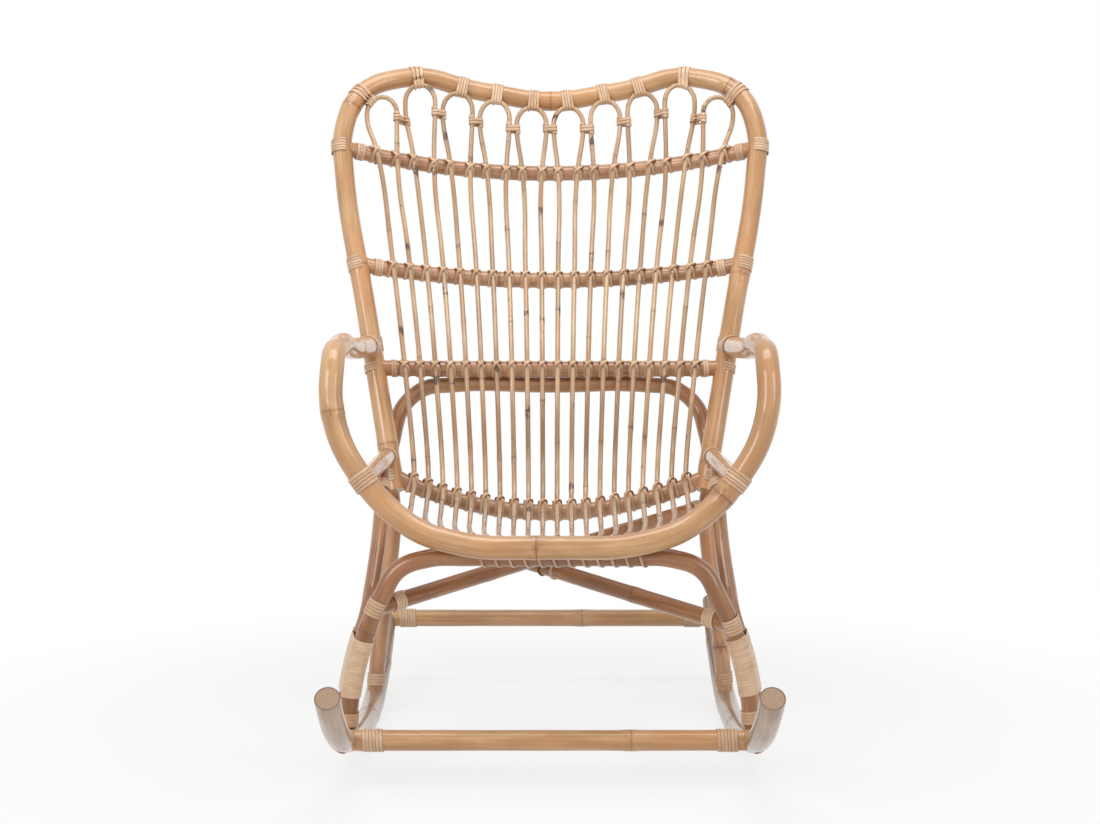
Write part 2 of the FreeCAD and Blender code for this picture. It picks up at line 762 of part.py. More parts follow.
# Canes, the windings of their loops and the crossed lashings on the rails
for pin in range(HAIRPINS):
    edges = cane_paths[pin]
    keep("cane_%02d" % (pin + 1), tube(edges, CANE_D))
    closest, top, down = frames[pin]
    s = nearest(back_path, closest)
    on_ear = pin < 2 or pin > HAIRPINS - 3
    turns, pitch = (3, EAR_PITCH) if on_ear else (4, PEEL_PITCH)
    keep("loop_top_bindings", pair_winding(back_path, s, FRAME_R, edges, CANE_R + 0.5, turns,
                                           "loop_top_bindings", pitch))
    if pin + 1 < HAIRPINS:
        other = frames[pin + 1]
        neck = top + down * (LOOP_R + NECK_DROP) + V(LOOP_R, 0, 0)
        if other[1].z < top.z:
            neck = other[1] + other[2] * (LOOP_R + NECK_DROP) - V(LOOP_R, 0, 0)
        keep("loop_neck_bindings", pair_winding(edges, nearest(edges, neck), CANE_R + 0.5,
                                                cane_paths[pin + 1], CANE_R + 0.5, 3,
                                                "loop_neck_bindings", NECK_PITCH))
    for hand in (-1, 1):
        for name, (p, t, face, run) in crossed[pin, hand][0].items():
            lash(name + "_lashings", RAILS[name][1], CANE_R, p, t, face, run)

# Lashing where the braces cross
over = poles["left_brace"][0]
under = poles["right_brace"][0]
high = along(over, where(over, lambda p: p.x, 0.0, total(over)))
low = along(under, where(under, lambda p: -p.x, 0.0, total(under)))
face = low[1].cross(high[1])
face = unit(face if face.z > 0 else face * -1)
lash("brace_cross_lashing", BRACE_R, BRACE_R, low[0], low[1], face, high[1])

# Zigzag lacing round the top of the leg arch and the thin rail behind it, between the canes
spacing = 2 * FRONT_FIELD / (2 * HAIRPINS - 1)
thin = LASH_D / 2 + STRAND_FIT + 0.3
lace = []
LACE_SPOTS = [(0.0, 1, 45), (0.0, 1, 90), (0.0, 0, 90), (0.06, 0, 135), (0.20, 0, 180),
              (0.38, 0, 225), (0.58, 0, 270), (0.96, 1, 270), (1.0, 1, 315), (1.0, 1, 360)]
for k in range(-LACE_TURNS // 2 + 1, LACE_TURNS // 2 + 1):
    for share, pole, angle in LACE_SPOTS:
        x = (k + share) * spacing
        edges, r = ((arch_path, LEG_R), (front_rail_path, FRONT_RAIL_R + LACE_LIFT))[pole]
        p = along(edges, where(edges, lambda q: q.x - x, 0.0, total(edges)))[0]
        a = math.radians(angle)
        lace.append(p + V(0, math.cos(a), math.sin(a)) * (r + thin))
lace_path = path(lace)
gaps["seat_front_lacing"] = self_gap(lace_path, LASH_D)
keep("seat_front_lacing", tube(lace_path, LASH_D))

# Poles with shaped ends and drilled holes
for name, (edges, d) in poles.items():
    shape = tube(edges, d)
    for host in copes.get(name, []):
        cutter = tube(poles[host][0], poles[host][1] + 2 * FIT, 37.0)
        shape = max(shape.cut((cutter,), 0.001).Solids, key=lambda q: q.Volume)
    for hole in holes.get(name, []):
        shape = shape.cut(hole)
    keep(name, max(shape.Solids, key=lambda q: q.Volume))

# Least gap of each winding to itself, and the balance point over the runners
for label, gap in gaps.items():
    print("least gap to itself,", label, round(gap, 2))
everything = [s for group in solids.values() for s in group]
volume = sum(s.Volume for s in everything)
balance = sum((s.CenterOfMass * s.Volume for s in everything), V(0, 0, 0)) / volume
print("balance point", balance, "lowest point of the runners at y", CONTACT_Y)

os.makedirs("parts", exist_ok=True)
for name, group in solids.items():
    shape = group[0] if len(group) == 1 else Part.makeCompound(group)
    shape.exportStep("parts/%s.step" % name)
    if not shape.isValid():
        print("not valid:", name)
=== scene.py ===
# %% [markdown]
# A rattan rocking chair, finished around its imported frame.
# The frame holds every pole, cane and binding as a smooth round tube in its true place.
# Real rattan is a plant stem, with swollen nodes, grain along its length and a skin that is split off for
# bindings.
# So each tube is measured for its middle line here, and a stem or a strip of peel is grown along that line.

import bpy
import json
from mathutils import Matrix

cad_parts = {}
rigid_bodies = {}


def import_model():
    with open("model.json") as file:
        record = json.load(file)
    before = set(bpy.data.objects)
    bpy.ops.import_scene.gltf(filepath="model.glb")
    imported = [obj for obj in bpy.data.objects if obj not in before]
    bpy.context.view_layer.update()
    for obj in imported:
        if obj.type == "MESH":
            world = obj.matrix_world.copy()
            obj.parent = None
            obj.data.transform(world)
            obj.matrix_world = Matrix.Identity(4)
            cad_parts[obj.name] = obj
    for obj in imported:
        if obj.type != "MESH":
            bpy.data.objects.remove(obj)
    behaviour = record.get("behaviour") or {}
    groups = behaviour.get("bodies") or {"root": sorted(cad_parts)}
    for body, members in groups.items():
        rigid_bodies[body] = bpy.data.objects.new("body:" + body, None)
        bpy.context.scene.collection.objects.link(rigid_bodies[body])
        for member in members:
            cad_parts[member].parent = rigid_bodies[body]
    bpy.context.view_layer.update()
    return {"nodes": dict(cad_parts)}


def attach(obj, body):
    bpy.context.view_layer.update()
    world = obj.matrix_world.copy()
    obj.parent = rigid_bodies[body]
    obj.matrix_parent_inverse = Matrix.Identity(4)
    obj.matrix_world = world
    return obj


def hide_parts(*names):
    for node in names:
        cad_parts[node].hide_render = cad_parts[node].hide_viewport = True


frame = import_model()
print("nodes in the frame:", len(frame["nodes"]))

# %% [markdown]
# The camera comes first, so that every later step can be looked at from the same place.
# The photograph is a front view from about 0.7 m above the floor, tilted a little down.
# A camera could also be aimed by a constraint, but a place, a tilt and a lens are enough for a straight
# view.

# %% Camera
import json
import math

import bpy
import numpy as np

EYE = (0.0, -2.758, 0.678)
TILT_DOWN = math.radians(4.0)
LENS = 61.56
SENSOR_WIDTH = 36.0
camera = bpy.data.objects.new("front_view", bpy.data.cameras.new("front_view"))
camera.location = EYE
camera.rotation_euler = (math.pi / 2 - TILT_DOWN, 0, 0)
camera.data.lens = LENS
camera.data.sensor_width = SENSOR_WIDTH
bpy.context.scene.collection.objects.link(camera)
bpy.context.scene.camera = camera
print("camera at", EYE, "lens", LENS)

# %% [markdown]
# Node trees are easier to read as sums than as boxes and wires.
# Link wraps one socket, and the usual signs between two of them add Math nodes.
# The same nodes could be placed one by one, but a sum of four terms would then take a dozen lines.

# %% Sums of sockets
class Link:
    def __init__(self, graph, socket):
        self.graph = graph
        self.socket = socket

    def __add__(self, other):
        return self.graph.maths("ADD", self, other)

    def __sub__(self, other):
        return self.graph.maths("SUBTRACT", self, other)

    def __rsub__(self, other):
        return self.graph.maths("SUBTRACT", other, self)

    def __mul__(self, other):
        return self.graph.maths("MULTIPLY", self, other)

    def __truediv__(self, other):
        return self.graph.maths("DIVIDE", self, other)

    def __pow__(self, other):
        return self.graph.maths("POWER", self, other)

    def __lt__(self, other):
        return self.graph.maths("LESS_THAN", self, other)

    __radd__ = __add__
    __rmul__ = __mul__


print("a Link can be added, subtracted, multiplied, divided, raised and compared")

# %% [markdown]
# Graph holds one node tree, of a material, of the world or of Geometry Nodes.
# Its one method makes any node from its type, its settings and its inputs, and hands back an output as a
# Link.
# An input is found by name where it has one of its own, and by number on Math nodes, whose inputs share a
# name.

# %% Graph of nodes
class Graph:
    def __init__(self, tree):
        self.tree = tree

    def node(self, kind, settings=None, inputs=None, output=None):
        made = self.tree.nodes.new(kind)
        for key, value in (settings or {}).items():
            setattr(made, key, value)
        for key, value in (inputs or {}).items():
            if isinstance(key, str):
                socket = next(s for s in made.inputs if s.enabled and s.name == key)
            else:
                socket = made.inputs[key]
            if isinstance(value, Link):
                self.tree.links.new(value.socket, socket)
            else:
                socket.default_value = value
        live = [s for s in made.outputs if s.enabled]
        if not live:
            return made
        return Link(self, made.outputs[output] if output else live[0])

    def maths(self, operation, *values):
        return self.node("ShaderNodeMath", {"operation": operation}, dict(enumerate(values)))

    def bell(self, distance, width):
        return self.maths("EXPONENT", (distance / width) ** 2 * -1)


print("a Graph makes any node in one call")

# %% [markdown]
# A node of the frame may hold several solids, such as all the windings of one rail, as a bag of loose
# triangles.
# Separating them by loose parts in Blender needs a merged copy of each mesh in the scene.
# Here corners at the same place are merged as numbers instead, and every corner takes the lowest number
# among its neighbours until nothing changes, which leaves one number for each solid.

# %% Solids of a node
CELLS_PER_METRE = 4e5
DIGITS_OF_A_CELL = np.array([1 << 42, 1 << 21, 1])


def triangles_of(node):
    mesh = frame["nodes"][node].data
    flat = np.empty(len(mesh.vertices) * 3, np.float32)
    mesh.vertices.foreach_get("co", flat)
    mesh.calc_loop_triangles()
    corners = np.empty(len(mesh.loop_triangles) * 3, np.int32)
    mesh.loop_triangles.foreach_get("vertices", corners)
    return flat.reshape(-1, 3).astype(float)[corners].reshape(-1, 3, 3)


def solids_of(node):
    tris = triangles_of(node)
    cells = np.round((tris.reshape(-1, 3) + 1) * CELLS_PER_METRE).astype(np.int64)
    first, corners = np.unique(cells @ DIGITS_OF_A_CELL, return_index=True, return_inverse=True)[1:]
    corners = corners.reshape(-1)
    order = np.argsort(corners, kind="stable")
    starts = np.searchsorted(corners[order], np.arange(len(first)))
    label = np.arange(len(first))
    while True:
        low = label[corners].reshape(-1, 3).min(axis=1)
        new = np.minimum.reduceat(np.repeat(low, 3)[order], starts)
        new = new[new]
        if (new == label).all():
            break
        label = new
    owner = label[corners[::3]]
    return [tris[owner == one] for one in np.unique(owner)]


print("screws in the joints:", len(solids_of("joint_screws")))

# %% [markdown]
# Every pole, cane and strand was built as a tube, so a cut across it is a circle.
# A cut takes the triangles that cross a plane, and the circle that fits the cut best has its middle on the
# line that is wanted.
# The middle of the cut's points would be simpler, but at a joint part of the circle is missing, and it would
# drift.

# %% Cuts across a tube
NEAREST_TO_MIDDLE = 0.7
FARTHEST_FROM_MIDDLE = 1.3
SECTORS = 12
SECTORS_PER_HALF_TURN = 5.99
ENOUGH_OF_A_CIRCLE = 0.7


def unit(v):
    return v / np.linalg.norm(v)


def cut_points(tris, p, d, radius):
    height = (tris - p) @ d
    below = height < 0
    crossed = below.any(axis=1) & ~below.all(axis=1)
    t = tris[crossed]
    h = height[crossed]
    found = []
    for a, b in ((0, 1), (1, 2), (2, 0)):
        k = (h[:, a] < 0) != (h[:, b] < 0)
        share = h[k, a] / (h[k, a] - h[k, b])
        found.append(t[k, a] + (t[k, b] - t[k, a]) * share[:, None])
    q = np.concatenate(found)
    r = np.linalg.norm(q - p, axis=1)
    return q[(r > NEAREST_TO_MIDDLE * radius) & (r < FARTHEST_FROM_MIDDLE * radius)]


def sideways(d):
    x = unit(np.array((0.0, d[2], -d[1]) if abs(d[0]) < 0.8 else (-d[2], 0.0, d[0])))
    y = np.array((d[1] * x[2] - d[2] * x[1], d[2] * x[0] - d[0] * x[2], d[0] * x[1] - d[1] * x[0]))
    return x, y


def fitted(q, p, d):
    x, y = sideways(d)
    u = (q - p) @ x
    v = (q - p) @ y
    filled = len(set(np.floor(np.arctan2(v, u) * SECTORS_PER_HALF_TURN / math.pi))) / SECTORS
    if filled < ENOUGH_OF_A_CIRCLE:
        return p, filled
    table = np.stack([2 * u, 2 * v, np.ones(len(u))], axis=1)
    a, b = np.linalg.lstsq(table, u * u + v * v, rcond=None)[0][:2]
    return p + x * a + y * b, filled


print("a cut is used when", ENOUGH_OF_A_CIRCLE, "of its circle is there")

# %% [markdown]
# The walk along a tube needs a place to start from, where the tube is round and whole.
# A triangle's normal points away from the middle, so a step of one radius inwards lands near it, and the
# direction that the normals close by have least of is the direction of the tube.

# %% Start of a walk
START_TRIES = np.linspace(0.5, 0.95, 60)
CLOSE_BY = 1.6
FEWEST_POINTS = 5
WHOLE_CIRCLE = 0.95


def first_slice(tris, radius):
    normal = np.cross(tris[:, 1] - tris[:, 0], tris[:, 2] - tris[:, 0])
    middle = tris.mean(axis=1)
    for i in START_TRIES * len(tris):
        n = normal[int(i)]
        if np.linalg.norm(n) == 0:
            continue
        p = middle[int(i)] - unit(n) * radius
        near = normal[np.linalg.norm(middle - p, axis=1) < CLOSE_BY * radius]
        d = np.linalg.eigh(near.T @ near)[1][:, 0]
        q = cut_points(tris, p, d, radius)
        if len(q) > FEWEST_POINTS:
            p, filled = fitted(q, p, d)
            if filled > WHOLE_CIRCLE:
                return p, d
    raise ValueError("no clean slice")


print("a walk may start at one of", len(START_TRIES), "triangles")

# %% [markdown]
# The middle line of a tube is found by walking along it from that start, both ways.
# It could be copied by hand from the sizes that the frame was made with, but a measured line always fits the
# frame.
# Where a shaped end leaves too little of the circle, the walk goes straight on until the tube stops.
# A few passes of smoothing take out the small steps that the flat triangles leave.

# %% Middle line of a tube
STEPS_PER_LOOK = 4
LOOK_ASIDE = 1.4
END_ASIDE = 1.1
END_AHEAD = 2
SHORTEST_END = 0.1
STEM_STEP = 0.003
STEM_PASSES = 8


def smoothed(line, passes):
    for _ in range(passes):
        line[1:-1] = (line[:-2] + 2 * line[1:-1] + line[2:]) / 4
    return line


def middle_line(tris, radius, step, passes):
    start, axis = first_slice(tris, radius)
    middle = tris.mean(axis=1)
    size = np.linalg.norm(tris - middle[:, None], axis=2).max(axis=1)
    reach = (STEPS_PER_LOOK + 1) * step + LOOK_ASIDE * radius + size
    halves = []
    for way in (-1, 1):
        p = start
        d = axis * way
        walk = []
        while True:
            if len(walk) % STEPS_PER_LOOK == 0:
                near = tris[((middle - p) ** 2).sum(axis=1) < reach ** 2]
            guess = p + d * step
            q = cut_points(near, guess, d, radius)
            if len(q) < 2:
                break
            c, filled = fitted(q, guess, d)
            if filled >= ENOUGH_OF_A_CIRCLE:
                d = unit(c - p)
            p = c
            walk.append(p)
        ahead = (near.reshape(-1, 3) - p) @ d
        aside = np.linalg.norm(near.reshape(-1, 3) - p - ahead[:, None] * d, axis=1)
        end = ahead[(aside < END_ASIDE * radius) & (ahead < END_AHEAD * radius)].max(initial=0.0)
        if end > SHORTEST_END * step:
            walk.append(p + d * end)
        halves.append(walk)
    return smoothed(np.array(halves[0][::-1] + [start] + halves[1]), passes)


sample = middle_line(triangles_of("front_stretcher"), 0.014, STEM_STEP, STEM_PASSES)
print("the front stretcher's line has", len(sample), "points")

# %% [markdown]
# Geometry Nodes grow the stems and the strips, because both follow a path and repeat by the dozen.
# A curve with a bevel could do it too, but it knows nothing of nodes, grain or a strip's outer side.
# A tree has named inputs for the sizes, and it ends with real faces and their finish.

# %% Trees that grow a piece
def new_tree(name, inputs):
    graph = Graph(bpy.data.node_groups.new(name, "GeometryNodeTree"))
    face = graph.tree.interface
    graph.ids = {}
    for title, kind in inputs:
        made = face.new_socket(title, in_out="INPUT", socket_type="NodeSocket" + kind)
        graph.ids[title] = made.identifier
    face.new_socket("Piece", in_out="OUTPUT", socket_type="NodeSocketGeometry")
    entry = graph.tree.nodes.new("NodeGroupInput")
    graph.inputs = {title: Link(graph, entry.outputs[title]) for title, kind in inputs}
    return graph


def store(g, shape, name, value, kind="FLOAT", domain="POINT"):
    return g.node("GeometryNodeStoreNamedAttribute", {"data_type": kind, "domain": domain},
                  {"Geometry": shape, "Name": name, "Value": value})


def stored(g, name, kind="FLOAT"):
    return g.node("GeometryNodeInputNamedAttribute", {"data_type": kind}, {"Name": name})


def chance(g, number, seed):
    return g.node("FunctionNodeRandomValue", None, {"Min": -1.0, "Max": 1.0, "ID": number, "Seed": seed})


def finish_tree(g, mesh, helpers):
    for name in helpers:
        mesh = g.node("GeometryNodeRemoveAttribute", None, {"Geometry": mesh, "Name": name})
    mesh = g.node("GeometryNodeRealizeInstances", None, {"Geometry": mesh})
    mesh = g.node("GeometryNodeSetMaterial", None, {"Geometry": mesh, "Material": g.inputs["Finish"]})
    out = g.tree.nodes.new("NodeGroupOutput")
    g.tree.links.new(mesh.socket, out.inputs[0])


print("a tree ends in real faces with their finish on")

# %% [markdown]
# A tree gets its middle lines as chains of loose edges, one for each strand.
# Strips also get their outer side at every point, and how far they are stretched sideways.
# The result is turned into a plain mesh, and the chain it grew from is thrown away with its modifier.

# %% Growing a piece from chains of points
def chained(name, lines):
    chain = bpy.data.meshes.new(name)
    counts = [len(line) for line in lines]
    first = np.cumsum([0] + counts)
    edges = [(first[i] + k, first[i] + k + 1) for i in range(len(lines)) for k in range(counts[i] - 1)]
    chain.from_pydata(np.concatenate(lines).tolist(), edges, [])
    strand = chain.attributes.new("strand", "INT", "POINT")
    strand.data.foreach_set("value", np.repeat(np.arange(len(lines)), counts).astype(np.int32))
    return chain, counts


def grown(name, lines, graph, values, outward=None, wide=None):
    chain, counts = chained(name + "_chain", lines)
    if outward is not None:
        facing = chain.attributes.new("outward", "FLOAT_VECTOR", "POINT")
        facing.data.foreach_set("vector", np.concatenate(outward).astype(np.float32).ravel())
        stretch = chain.attributes.new("wide", "FLOAT", "POINT")
        stretch.data.foreach_set("value", np.repeat(wide, counts).astype(np.float32))
    holder = bpy.data.objects.new(name + "_chain", chain)
    bpy.context.scene.collection.objects.link(holder)
    modifier = holder.modifiers.new("grow", "NODES")
    modifier.node_group = graph.tree
    for title, value in values.items():
        modifier[graph.ids[title]] = value
    view = bpy.context.evaluated_depsgraph_get()
    mesh = bpy.data.meshes.new_from_object(holder.evaluated_get(view))
    bpy.data.objects.remove(holder)
    bpy.data.meshes.remove(chain)
    mesh.name = name
    piece = bpy.data.objects.new(name, mesh)
    bpy.context.scene.collection.objects.link(piece)
    return piece


print("pieces grow from chains of points")

# %% [markdown]
# A rattan stem is nearly round, thickens a little at each node and has a fine groove there.
# It could be sculpted, but a stem is regular enough for a sum: the tree sets the thickness along the line
# from the distance to the nearest node, and a slow noise keeps it from looking turned on a lathe.
# It also stores a tone for each length between nodes, and how plainly each node shows.

# %% Thickness along a stem
NODE_STRAY = 0.2
NODE_LENGTH = 0.010
GROOVE_LENGTH = 0.0016
GROOVE_SHARE = 0.55
UNEVENNESS = 0.05
UNEVEN_SCALE = 9.0
UNEVEN_SEED_STEP = 0.37
TONE_DRAW = 5
MARK_DRAW = 9


def stem_line(g):
    box = g.inputs
    line = g.node("GeometryNodeMeshToCurve", None, {"Mesh": box["Line"]})
    along = g.node("GeometryNodeSplineParameter", None, None, "Length")
    count = g.maths("ROUND", (along - box["First node"]) / box["Node spacing"])
    stray = chance(g, count, box["Seed"]) * NODE_STRAY
    gap = along - box["First node"] - (count + stray) * box["Node spacing"]
    tone = chance(g, count - (gap < 0.0), box["Seed"] + TONE_DRAW)
    mark = 0.5 + chance(g, count, box["Seed"] + MARK_DRAW) * 0.5
    spot = g.node("ShaderNodeCombineXYZ", None, {"X": along, "Y": box["Seed"] * UNEVEN_SEED_STEP})
    wander = g.node("ShaderNodeTexNoise", {"noise_dimensions": "2D"},
                    {"Vector": spot, "Scale": UNEVEN_SCALE, "Detail": 1.0})
    groove = g.bell(gap, GROOVE_LENGTH) * (box["Swelling"] * GROOVE_SHARE)
    ridge = g.bell(gap, NODE_LENGTH) * box["Swelling"] - groove
    thick = box["Radius"] * (1.0 + ridge + (wander - 0.5) * UNEVENNESS)
    for name, value in (("along", along), ("gap", gap), ("tone", tone), ("mark", mark), ("thick", thick)):
        line = store(g, line, name, value)
    return store(g, line, "run", g.node("GeometryNodeInputTangent"), "FLOAT_VECTOR")


print("a node swells over", NODE_LENGTH, "m and its groove over", GROOVE_LENGTH, "m")

# %% [markdown]
# A sawn end shows a rim of skin round the paler inside.
# A ring of paint could fake it, but the end of the tube is one flat face, so the tree insets that face, and
# the strip of faces round it becomes the rim.

# %% Cut ends of a stem
RIM_INNER = 0.88
END_LEVEL = 0.7


def with_cut_ends(g, mesh):
    level = g.node("ShaderNodeVectorMath", {"operation": "DOT_PRODUCT"},
                   {0: g.node("GeometryNodeInputNormal"), 1: stored(g, "run", "FLOAT_VECTOR")}, "Value")
    cap = 1.0 - (g.maths("ABSOLUTE", level) < END_LEVEL)
    mesh = store(g, mesh, "cut", cap, "FLOAT", "FACE")
    mesh = g.node("GeometryNodeExtrudeMesh", {"mode": "FACES"},
                  {"Mesh": mesh, "Selection": 1.0 - (stored(g, "cut") < 0.5), "Offset Scale": 0.0,
                   "Individual": True})
    top, side = (Link(g, mesh.socket.node.outputs[name]) for name in ("Top", "Side"))
    mesh = store(g, mesh, "rim", side, "FLOAT", "FACE")
    mesh = g.node("GeometryNodeScaleElements", {"domain": "FACE"},
                  {"Geometry": mesh, "Selection": top, "Scale": RIM_INNER})
    return g.node("GeometryNodeSetShadeSmooth", None,
                  {"Geometry": mesh, "Selection": stored(g, "cut") < 0.5})


print("the inside of a cut end takes", RIM_INNER, "of its width")

# %% [markdown]
# The whole stem is a ring drawn along the line at the thickness that was stored there.
# The grain needs a place in the stem that bends with it, so the tree stores one as if the stem were
# straight, with every stem far from the next.

# %% Tree for stems
GRAIN_SEED_STEP = 3.1


def stem_tree():
    g = new_tree("rattan_stem", (("Line", "Geometry"), ("Radius", "Float"), ("First node", "Float"),
                                 ("Node spacing", "Float"), ("Swelling", "Float"), ("Sides", "Int"),
                                 ("Seed", "Int"), ("Finish", "Material")))
    box = g.inputs
    line = stem_line(g)
    ring = g.node("GeometryNodeCurvePrimitiveCircle", None, {"Resolution": box["Sides"], "Radius": 1.0})
    ring = store(g, ring, "around", g.node("GeometryNodeSplineParameter"))
    mesh = g.node("GeometryNodeCurveToMesh", None,
                  {"Curve": line, "Profile Curve": ring, "Scale": stored(g, "thick"), "Fill Caps": True})
    turn = stored(g, "around") * (2 * math.pi)
    place = g.node("ShaderNodeCombineXYZ", None, {"X": g.maths("COSINE", turn) * box["Radius"],
                                                 "Y": g.maths("SINE", turn) * box["Radius"],
                                                 "Z": stored(g, "along") + box["Seed"] * GRAIN_SEED_STEP})
    mesh = store(g, mesh, "grain", place, "FLOAT_VECTOR")
    finish_tree(g, with_cut_ends(g, mesh), ("along", "around", "thick", "run"))
    return g


stem = stem_tree()
print("stem tree has", len(stem.tree.nodes), "nodes")

# %% [markdown]
# Peel is the skin of the stem, split off as a thin strip with a rounded outer face and wound on while damp.
# A round cord would be easier, but peel lies flat: its tree lays a flat section with rounded edges along the
# line, thin way outwards from the pole underneath.
# Strips that lie further apart are wider ones, so the section is then stretched sideways until turn meets
# turn.

# %% Tree for strips of peel
EDGE_ROUNDING = 0.48
STRIP_SEED_STEP = 1.7


def strip_tree():
    g = new_tree("peel_strip", (("Line", "Geometry"), ("Width", "Float"), ("Thickness", "Float"),
                                ("Seed", "Int"), ("Finish", "Material")))
    box = g.inputs
    outward = stored(g, "outward", "FLOAT_VECTOR")
    line = g.node("GeometryNodeMeshToCurve", None, {"Mesh": box["Line"]})
    line = g.node("GeometryNodeSetCurveNormal", {"mode": "FREE"}, {"Curve": line, "Normal": outward})
    side = g.node("ShaderNodeVectorMath", {"operation": "CROSS_PRODUCT"},
                  {0: g.node("GeometryNodeInputTangent"), 1: outward})
    line = store(g, line, "along", g.node("GeometryNodeSplineParameter", None, None, "Length"))
    line = store(g, line, "tone", chance(g, stored(g, "strand", "INT"), box["Seed"]))
    line = store(g, line, "side", side, "FLOAT_VECTOR")
    flat = g.node("GeometryNodeCurvePrimitiveQuadrilateral", None,
                  {"Width": box["Thickness"], "Height": box["Width"]})
    flat = g.node("GeometryNodeFilletCurve", {"mode": "POLY"},
                  {"Curve": flat, "Count": 2, "Radius": box["Thickness"] * EDGE_ROUNDING})
    across = g.node("ShaderNodeSeparateXYZ", None, {"Vector": g.node("GeometryNodeInputPosition")}, "Y")
    flat = store(g, flat, "across", across)
    mesh = g.node("GeometryNodeCurveToMesh", None,
                  {"Curve": line, "Profile Curve": flat, "Fill Caps": True})
    stretch = g.node("ShaderNodeVectorMath", {"operation": "SCALE"},
                     {0: stored(g, "side", "FLOAT_VECTOR"),
                      "Scale": stored(g, "across") * (stored(g, "wide") - 1.0)})
    mesh = g.node("GeometryNodeSetPosition", None, {"Geometry": mesh, "Offset": stretch})
    place = g.node("ShaderNodeCombineXYZ", None,
                   {"X": stored(g, "across"), "Y": stored(g, "tone"),
                    "Z": stored(g, "along") + box["Seed"] * STRIP_SEED_STEP})
    mesh = store(g, mesh, "grain", place, "FLOAT_VECTOR")
    mesh = g.node("GeometryNodeSetShadeSmooth", None, {"Geometry": mesh})
    finish_tree(g, mesh, ("along", "across", "strand", "outward", "side", "wide"))
    return g


strip = strip_tree()
print("strip tree has", len(strip.tree.nodes), "nodes")

# %% [markdown]
# The chair was varnished, so every finish of stem or peel has a clear coat over a soft colour.
# A colour is written as it looks on a screen, which is easy to compare, and turned into light values here.
# The other helpers blend two colours, make a noise that is stretched along the stem, and ease a value from 0
# to 1.

# %% Colours
SPECULAR_LEVEL = 0.35


def tint(red, green, blue):
    def light(c):
        c = c / 255
        return c / 12.92 if c <= 0.04045 else ((c + 0.055) / 1.055) ** 2.4
    return (light(red), light(green), light(blue), 1.0)


def new_finish(name, coat, coat_roughness):
    material = bpy.data.materials.new(name)
    material.use_nodes = True
    graph = Graph(material.node_tree)
    graph.tree.nodes.clear()
    graph.shader = graph.tree.nodes.new("ShaderNodeBsdfPrincipled")
    graph.shader.inputs["Coat Weight"].default_value = coat
    graph.shader.inputs["Coat Roughness"].default_value = coat_roughness
    graph.shader.inputs["Specular IOR Level"].default_value = SPECULAR_LEVEL
    out = graph.tree.nodes.new("ShaderNodeOutputMaterial")
    graph.tree.links.new(graph.shader.outputs["BSDF"], out.inputs["Surface"])
    graph.material = material
    return graph


def into(graph, **links):
    for key, value in links.items():
        graph.tree.links.new(value.socket, graph.shader.inputs[key.replace("_", " ")])


def blend(graph, share, first, second):
    return graph.node("ShaderNodeMix", {"data_type": "RGBA"}, {"Factor": share, "A": first, "B": second})


def noise(graph, place, stretch, scale, detail=3.0):
    moved = graph.node("ShaderNodeVectorMath", {"operation": "MULTIPLY"}, {0: place, 1: stretch})
    return graph.node("ShaderNodeTexNoise", None, {"Vector": moved, "Scale": scale, "Detail": detail})


def ramp(graph, value, low, high):
    return graph.node("ShaderNodeMapRange", {"interpolation_type": "SMOOTHSTEP"},
                      {"Value": value, "From Min": low, "From Max": high})


print("middle grey as light:", round(tint(128, 128, 128)[0], 3))

# %% [markdown]
# On a varnished stem the fibres run lengthwise as faint streaks, each length between nodes has its own tone
# and some stretches are redder than others.
# An image of rattan would have to be unwrapped round every bend, so the pattern is worked out from the place
# in the stem that its tree stored.
# Each noise here is given by its stretch along and across the stem, its scale and its detail.

# %% Noises in a stem
FIBRE = ((1.0, 1.0, 0.02), 900.0, 4.0)
CLOUD = ((1.0, 1.0, 0.25), 45.0, 3.0)
SPOTS = ((1.0, 1.0, 0.35), 160.0, 5.0)
BANDS = ((1.0, 1.0, 0.03), 210.0, 2.0)
PATCH = ((1.0, 1.0, 0.45), 17.0, 2.0)


def stem_colour(g, read, fibre, pale, middle, deep, warm):
    grain = read["grain"]
    cloud = noise(g, grain, *CLOUD)
    bands = noise(g, grain, *BANDS)
    patch = noise(g, grain, *PATCH)
    share = ramp(g, cloud + read["tone"] * 0.12 + (fibre - 0.5) * 0.45 + (bands - 0.5) * 0.60, 0.28, 0.74)
    colour = blend(g, share, deep, pale)
    colour = blend(g, 0.30, colour, middle)
    colour = blend(g, ramp(g, patch + read["tone"] * 0.06, 0.50, 0.68) * 0.55, colour, warm)
    return blend(g, ramp(g, fibre, 0.60, 0.75) * 0.25, colour, deep)


print("noises from", PATCH[1], "to", FIBRE[1], "waves to the metre")

# %% [markdown]
# A node shows as a thin brown ring, plain or faint, with a stain beside it.
# A cut end is duller, with small pores and a dark rim where the skin was sawn through.
# The same recipe serves the thick poles and the thin canes, with other colours and sizes, because no two
# stems of a batch have quite the same shade.
# The tan and brown finishes are darker partly by their own colour and partly as painted shade, for the
# rails and the poles under the seat; the grey finish of the runners is a painted sheen.

# %% Finish of the stems
VARNISH = 0.75
VARNISH_ROUGHNESS = 0.10
STAIN_REACH = 0.012
RING_WAVER = 0.004
PORE_SCALE = 700.0
GRAIN_DEPTH = 0.0006


